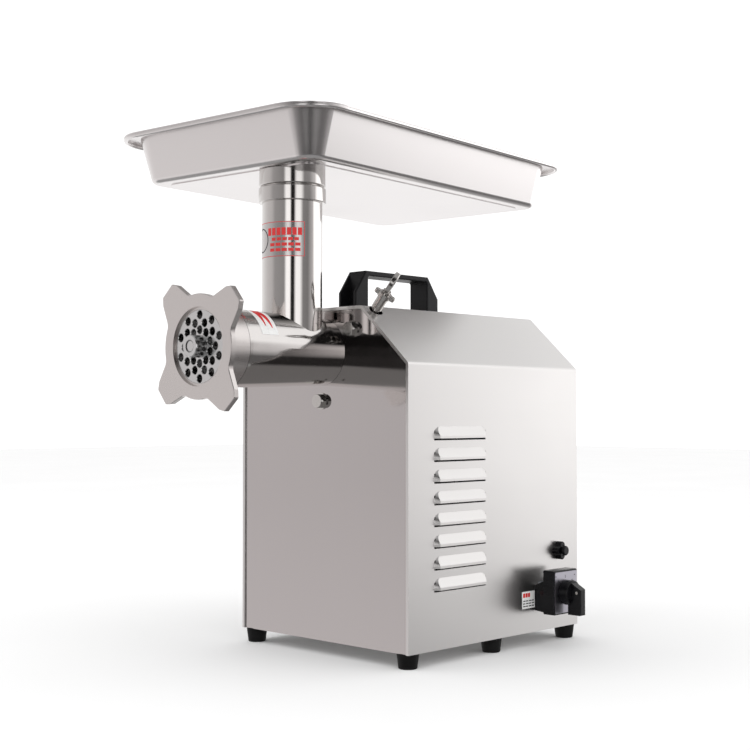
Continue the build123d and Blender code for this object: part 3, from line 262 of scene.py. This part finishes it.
def strip_mesh(shape, u0, u1, v0, v1, thickness, columns, rows=1, far=None):
    """Closed slab over a rectangle of a curved surface, or over a taper if far gives its limits at v1."""
    far0, far1 = far or (u0, u1)
    vertices, faces = [], []
    for lift in (0.0, thickness):
        for row in range(rows + 1):
            along = row / rows
            start = u0 + (far0 - u0) * along
            end = u1 + (far1 - u1) * along
            for column in range(columns + 1):
                u = start + (end - start) * column / columns
                vertices.append(shape(u, v0 + (v1 - v0) * along, lift))
    width = columns + 1
    layer = width * (rows + 1)
    for row in range(rows):
        for column in range(columns):
            a = row * width + column
            quad = (a, a + 1, a + 1 + width, a + width)
            faces.append(tuple(reversed(quad)))
            faces.append(tuple(index + layer for index in quad))
    rim = [row * width for row in range(rows, 0, -1)]
    rim += list(range(columns))
    rim += [row * width + columns for row in range(rows)]
    rim += [rows * width + column for column in range(columns, 0, -1)]
    for here, there in zip(rim, rim[1:] + rim[:1]):
        faces.append((here, there, there + layer, here + layer))
    return vertices, faces


def join_strips(strips):
    vertices, faces = [], []
    for more_vertices, more_faces in strips:
        start = len(vertices)
        vertices += more_vertices
        faces += [tuple(index + start for index in face) for face in more_faces]
    return vertices, faces


def frame_strips(shape, u0, u1, v0, v1, line, thickness, columns):
    """Four strips that outline a rectangle."""
    return [
        strip_mesh(shape, u0, u1, v0, v0 + line, thickness, columns),
        strip_mesh(shape, u0, u1, v1 - line, v1, thickness, columns),
        strip_mesh(shape, u0, u0 + line, v0 + line, v1 - line, thickness, 1),
        strip_mesh(shape, u1 - line, u1, v0 + line, v1 - line, thickness, 1),
    ]


spigot_low, spigot_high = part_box("tray_spigot")
TUBE_X, TUBE_Y = (spigot_low.x + spigot_high.x) / 2, (spigot_low.y + spigot_high.y) / 2
TUBE_R = 28.5 * MM
TUBE_LABEL_EDGE = -17.5         # compass angle of the label's right edge, degrees


def on_tube(u, v, lift):
    """Point on the feed tube: u is arc length from the label's right edge, v the height."""
    angle = math.radians(TUBE_LABEL_EDGE) - u / TUBE_R
    radius = TUBE_R + GLUE_GAP + lift
    return (TUBE_X + radius * math.cos(angle), TUBE_Y + radius * math.sin(angle), v)


def above_film(shape, film):
    """The same surface, raised to the top of a label's film."""
    def above(u, v, lift):
        return shape(u, v, lift + film)
    return above


def ring_mesh(shape, centre_u, centre_v, inner, outer, thickness, steps=48):
    """Flat closed ring that lies on a curved surface."""
    vertices, faces = [], []
    for step in range(steps):
        turn = 2 * math.pi * step / steps
        for radius, lift in ((inner, 0), (outer, 0), (outer, thickness), (inner, thickness)):
            u, v = centre_u + radius * math.cos(turn), centre_v + radius * math.sin(turn)
            vertices.append(shape(u, v, lift))
    for step in range(steps):
        here, there = step * 4, ((step + 1) % steps) * 4
        for side in range(4):
            near, far = side, (side + 1) % 4
            faces.append((here + near, here + far, there + far, there + near))
    return vertices, faces


def tube_label():
    """Clear film on the feed tube: a thin border, a row of blocks over three rows of dashes, and a ring."""
    top, bottom, width = 409 * MM, 376 * MM, 65 * MM
    margin, line = 0.4 * MM, 0.5 * MM
    film = strip_mesh(on_tube, 0, width, bottom, top, THIN_FILM, 48)
    clear = steel("clear_film", (0.60, 0.58, 0.57), 0.22, (90, 90, 90), 2e-6, 0.04, 0.03)
    mesh_piece("tube_label_film", *film, clear, "head", "head_polished")

    above = above_film(on_tube, THIN_FILM)
    red = frame_strips(above, margin, width - margin, bottom + margin, top - margin, line, PRINT, 48)
    block_low, block_high, block_width, block_pitch = 396 * MM, 403 * MM, 4.0 * MM, 5.1 * MM
    for block in range(7):
        start = 3.0 * MM + block * block_pitch
        red.append(strip_mesh(above, start, start + block_width, block_low, block_high, PRINT, 4))
    dashes, dash_height, dash_gap, row_pitch = 5, 2.9 * MM, 1.2 * MM, 5.0 * MM
    for row, (left, right) in enumerate(((6, 34), (4.5, 36), (4.5, 36))):
        z = 391 * MM - row * row_pitch
        step = (right - left) * MM / dashes
        for dash in range(dashes):
            start = left * MM + dash * step
            red.append(strip_mesh(above, start, start + step - dash_gap, z, z + dash_height, PRINT, 4))
    mesh_piece("tube_label_print", *join_strips(red), red_ink, "head", "head_polished")

    ring = ring_mesh(above, 49 * MM, 392.5 * MM, 10.3 * MM, 11.5 * MM, PRINT)
    mesh_piece("tube_label_ring", *ring, dark_ink, "head", "head_polished")


tube_label()

BARREL_REAR_R, BARREL_FRONT_R = 32.0 * MM, 36.3 * MM
BARREL_LENGTH, BARREL_ROOT = 120.6 * MM, 1.3 * MM
SHEET = 1.5 * MM
panel_low, panel_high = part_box("front_panel")
nut_low, nut_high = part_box("ring_nut")
PANEL_Y = panel_low.y - SHEET           # the body's front edge; the panel sits one sheet behind it
SIDE_X = panel_high.x + SHEET
AXIS_Z = (nut_low.z + nut_high.z) / 2


def on_barrel(u, v, lift):
    """Point on the barrel: u is the distance ahead of the panel, v the angle from +X."""
    share = (u + BARREL_ROOT) / BARREL_LENGTH
    radius = BARREL_REAR_R + (BARREL_FRONT_R - BARREL_REAR_R) * share + BARREL_GAP + lift
    return (radius * math.cos(v), PANEL_Y - u, AXIS_Z + radius * math.sin(v))


def barrel_label():
    """White film near the barrel's front, with a broad stem that splits into two points."""
    low, high = math.radians(19), math.radians(76)
    film = strip_mesh(on_barrel, 83 * MM, 103 * MM, low, high, THICK_FILM, 6, 20)
    mesh_piece("barrel_label_film", *film, white_film, "head", "head_polished")

    # Each stroke: its limits at the top, its limits at the bottom, the angles of its top and bottom.
    strokes = [
        ((89, 99), (87, 98), 73, 58),
        ((93, 98), (95.2, 96), 58, 33),
        ((87, 93), (87.6, 88.6), 58, 30),
    ]
    above = above_film(on_barrel, THICK_FILM)
    parts = []
    for (near0, near1), (far0, far1), top, bottom in strokes:
        start, end = math.radians(top), math.radians(bottom)
        far = (far0 * MM, far1 * MM)
        parts.append(strip_mesh(above, near0 * MM, near1 * MM, start, end, PRINT, 3, 12, far))
    mesh_piece("barrel_label_print", *join_strips(parts), red_ink, "head", "head_polished")


barrel_label()


def on_side(u, v, lift):
    """Point on the switch side: u is the distance behind the panel, v the height."""
    return (SIDE_X + GLUE_GAP + lift, PANEL_Y + u, v)


def side_label():
    """White film beside the switch, with a border, three coloured blocks and three rows of dashes."""
    left, right, bottom, top = 164.5 * MM, 185.6 * MM, 37.6 * MM, 55.2 * MM
    indent = 2.0 * MM
    film = strip_mesh(on_side, left, right, bottom, top, THICK_FILM, 2)
    mesh_piece("side_label_film", *film, white_film, "housing", "body_sheet")

    above = above_film(on_side, THICK_FILM)
    dark = frame_strips(above, left, right, bottom, top, 0.35 * MM, FINE_PRINT, 1)
    dash_pitch, dash_height, row_pitch = 4.6 * MM, 1.1 * MM, 2.6 * MM
    for row in range(3):
        z = bottom + 2.2 * MM + row * row_pitch
        for dash in range(4):
            u = left + indent + dash * dash_pitch
            length = (3.9 - 0.5 * ((row + dash) % 2)) * MM
            dark.append(strip_mesh(above, u, u + length, z, z + dash_height, FINE_PRINT, 1))
    mesh_piece("side_label_lines", *join_strips(dark), dark_ink, "housing", "body_sheet")

    red = []
    block_width, block_pitch = 3.3 * MM, 3.9 * MM
    for block in range(3):
        u = left + indent + block * block_pitch
        red.append(strip_mesh(above, u, u + block_width, top - 6.2 * MM, top - 2.0 * MM, FINE_PRINT, 1))
    mesh_piece("side_label_blocks", *join_strips(red), red_ink, "housing", "body_sheet")


side_label()

plate_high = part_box("switch_plate")[1]
SWITCH_Y = PANEL_Y + 200 * MM
SWITCH_Z = 54.5 * MM


def on_plate(u, v, lift):
    """Point on the switch plate, measured from the knob's axis."""
    return (plate_high.x + PLATE_GAP + lift, SWITCH_Y + u, SWITCH_Z + v)


def plate_mark(u, v, width, height):
    """Printed dash on the switch plate, centred in u and standing on v."""
    return strip_mesh(on_plate, u - width / 2, u + width / 2, v, v + height, FINE_PRINT, 1)


def switch_marks():
    """A dotted tick for each of the knob's positions, and a short dash in each upper corner."""
    dot_width, dot_height = 0.8 * MM, 0.9 * MM
    marks = []
    for knob_turn in (-45, 0, 45):
        turn = math.radians(90 + knob_turn)
        for step in range(3):
            radius = (14.2 + step) * MM
            u, v = radius * math.cos(turn), radius * math.sin(turn)
            marks.append(plate_mark(u, v - dot_height / 2, dot_width, dot_height))
    for sign in (-1, 1):
        marks.append(plate_mark(sign * 15.4 * MM, 15.2 * MM, 1.2 * MM, 1.2 * MM))
    mesh_piece("switch_marks", *join_strips(marks), dark_ink, "housing", "switch_label")


switch_marks()


# ---------------------------------------------------------------- floor, light and camera
def make_floor():
    bpy.ops.mesh.primitive_plane_add(size=14)
    floor = bpy.context.object
    floor.name = "floor"
    material, tree, shader, vector = start_material("floor")
    drift = noise(tree, vector, 3, detail=2)
    colours = two_colours(tree, drift, (0.86, 0.86, 0.86), (0.90, 0.90, 0.90))
    tree.links.new(colours, shader.inputs["Base Color"])
    shader.inputs["Roughness"].default_value = 0.9
    shader.inputs["Specular IOR Level"].default_value = 0.1
    floor.data.materials.append(material)
    floor.visible_glossy = False


# Brightness of the studio by compass direction, in degrees from +X towards +Y: at eye level,
# high up and low down.
STUDIO_MIDDLE = [
    (-180, 1.0), (-150, 0.78), (-125, 0.66), (-110, 0.42), (-72, 0.36), (-63, 1.5), (-50, 1.5),
    (-47, 0.5), (-45, 0.02), (-35, 0.02), (-31, 0.9), (-26, 1.45), (-12, 1.4), (0, 0.30), (20, 0.26),
    (37, 0.60), (46, 0.75), (50, 1.60), (56, 1.85), (100, 1.70), (118, 0.60), (128, 1.1), (180, 1.0),
]
STUDIO_HIGH = [
    (-180, 0.6), (-110, 0.5), (-80, 0.10), (-72, 0.01), (-25, 0.01), (0, 0.35), (40, 1.3), (85, 1.22),
    (110, 1.0), (180, 0.6),
]
STUDIO_LOW = [
    (-180, 1.0), (-140, 0.85), (-120, 0.8), (-100, 0.25), (-70, 0.04), (-30, 0.05), (20, 0.12),
    (80, 0.16), (110, 0.5), (130, 1.1), (180, 1.0),
]
CEILING = 0.45          # straight up
UNDERFOOT = 0.32        # straight down, as steel reflects it
BACKDROP = 1.16         # what the camera and the matt surfaces see


def compass_ramp(tree, turn, bands):
    """Grey level that depends on the compass direction; the darker stretches are slightly warm."""
    brightest = max(value for _, value in bands)
    ramp = tree.nodes.new("ShaderNodeValToRGB")
    elements = ramp.color_ramp.elements
    while len(elements) < len(bands):
        elements.new(0.5)
    for element, (angle, value) in zip(elements, bands):
        level = value / brightest
        warm = 0.965 if value < 1 else 0.99
        element.position = (angle + 180) / 360
        element.color = (level, level * warm, level * warm, 1)
    tree.links.new(turn, ramp.inputs["Fac"])
    scale = tree.nodes.new("ShaderNodeVectorMath")
    scale.operation = "SCALE"
    scale.inputs["Scale"].default_value = brightest
    tree.links.new(ramp.outputs["Color"], scale.inputs[0])
    return scale.outputs["Vector"]


def mix_skies(tree, factor, first, second):
    """Mix two colours; the second may be a plain grey level."""
    node = tree.nodes.new("ShaderNodeMix")
    node.data_type = "RGBA"
    tree.links.new(factor, node.inputs["Factor"])
    tree.links.new(first, node.inputs["A"])
    if isinstance(second, float):
        node.inputs["B"].default_value = (second, second, second, 1)
    else:
        tree.links.new(second, node.inputs["B"])
    return node.outputs["Result"]


def make_world():
    """Studio with bright screens and dark gaps between them, so polished steel has something to reflect."""
    world = bpy.data.worlds.new("studio")
    bpy.context.scene.world = world
    world.use_nodes = True
    tree = world.node_tree
    background = tree.nodes["Background"]
    coords = tree.nodes.new("ShaderNodeTexCoord")
    split = tree.nodes.new("ShaderNodeSeparateXYZ")
    tree.links.new(coords.outputs["Generated"], split.inputs["Vector"])
    compass = tree.nodes.new("ShaderNodeMath")
    compass.operation = "ARCTAN2"
    tree.links.new(split.outputs["Y"], compass.inputs[0])
    tree.links.new(split.outputs["X"], compass.inputs[1])
    turn = spread(tree, compass.outputs["Value"], 0, 1, -math.pi, math.pi)
    rise = split.outputs["Z"]
    sky = compass_ramp(tree, turn, STUDIO_MIDDLE)
    sky = mix_skies(tree, spread(tree, rise, 0, 1, 0.16, 0.30), sky, compass_ramp(tree, turn, STUDIO_HIGH))
    sky = mix_skies(tree, spread(tree, rise, 0, 1, 0.66, 0.74), sky, CEILING)
    sky = mix_skies(tree, spread(tree, rise, 0, 1, -0.05, -0.28), sky, compass_ramp(tree, turn, STUDIO_LOW))
    sky = mix_skies(tree, spread(tree, rise, 0, 1, -0.52, -0.58), sky, UNDERFOOT)
    path = tree.nodes.new("ShaderNodeLightPath")
    plain = tree.nodes.new("ShaderNodeMath")
    plain.operation = "MAXIMUM"
    tree.links.new(path.outputs["Is Camera Ray"], plain.inputs[0])
    tree.links.new(path.outputs["Is Diffuse Ray"], plain.inputs[1])
    seen = mix_skies(tree, plain.outputs["Value"], sky, BACKDROP)
    tree.links.new(seen, background.inputs["Color"])
    background.inputs["Strength"].default_value = 1.0


def area_light(name, place, target, size, power):
    light = bpy.data.lights.new(name, "AREA")
    light.shape = "RECTANGLE"
    light.size, light.size_y = size
    light.energy = power
    holder = bpy.data.objects.new(name, light)
    holder.location = place
    holder.rotation_euler = (Vector(target) - Vector(place)).to_track_quat("-Z", "Y").to_euler()
    holder.visible_glossy = False
    bpy.context.scene.collection.objects.link(holder)


def make_camera():
    """Long lens at about the height of the louvres, looking slightly up at the front corner."""
    azimuth, rise = math.radians(44.25), math.radians(1.73)
    place = Vector((0.91925, -0.9980, 0.22989))
    level = math.cos(rise)
    forward = Vector((-math.sin(azimuth) * level, math.cos(azimuth) * level, math.sin(rise)))
    data = bpy.data.cameras.new("camera")
    data.sensor_width = 36.0
    data.lens = 63.05
    camera = bpy.data.objects.new("camera", data)
    camera.location = place
    camera.rotation_euler = forward.to_track_quat("-Z", "Y").to_euler()
    bpy.context.scene.collection.objects.link(camera)
    bpy.context.scene.camera = camera


make_floor()
make_world()
area_light("key", (-1.2, -1.6, 1.8), (0, 0, 0.25), (1.2, 1.2), 9)
area_light("fill", (1.9, 0.6, 1.1), (0, 0, 0.2), (1.0, 1.4), 5)
make_camera()
bpy.context.scene.view_settings.view_transform = "Standard"
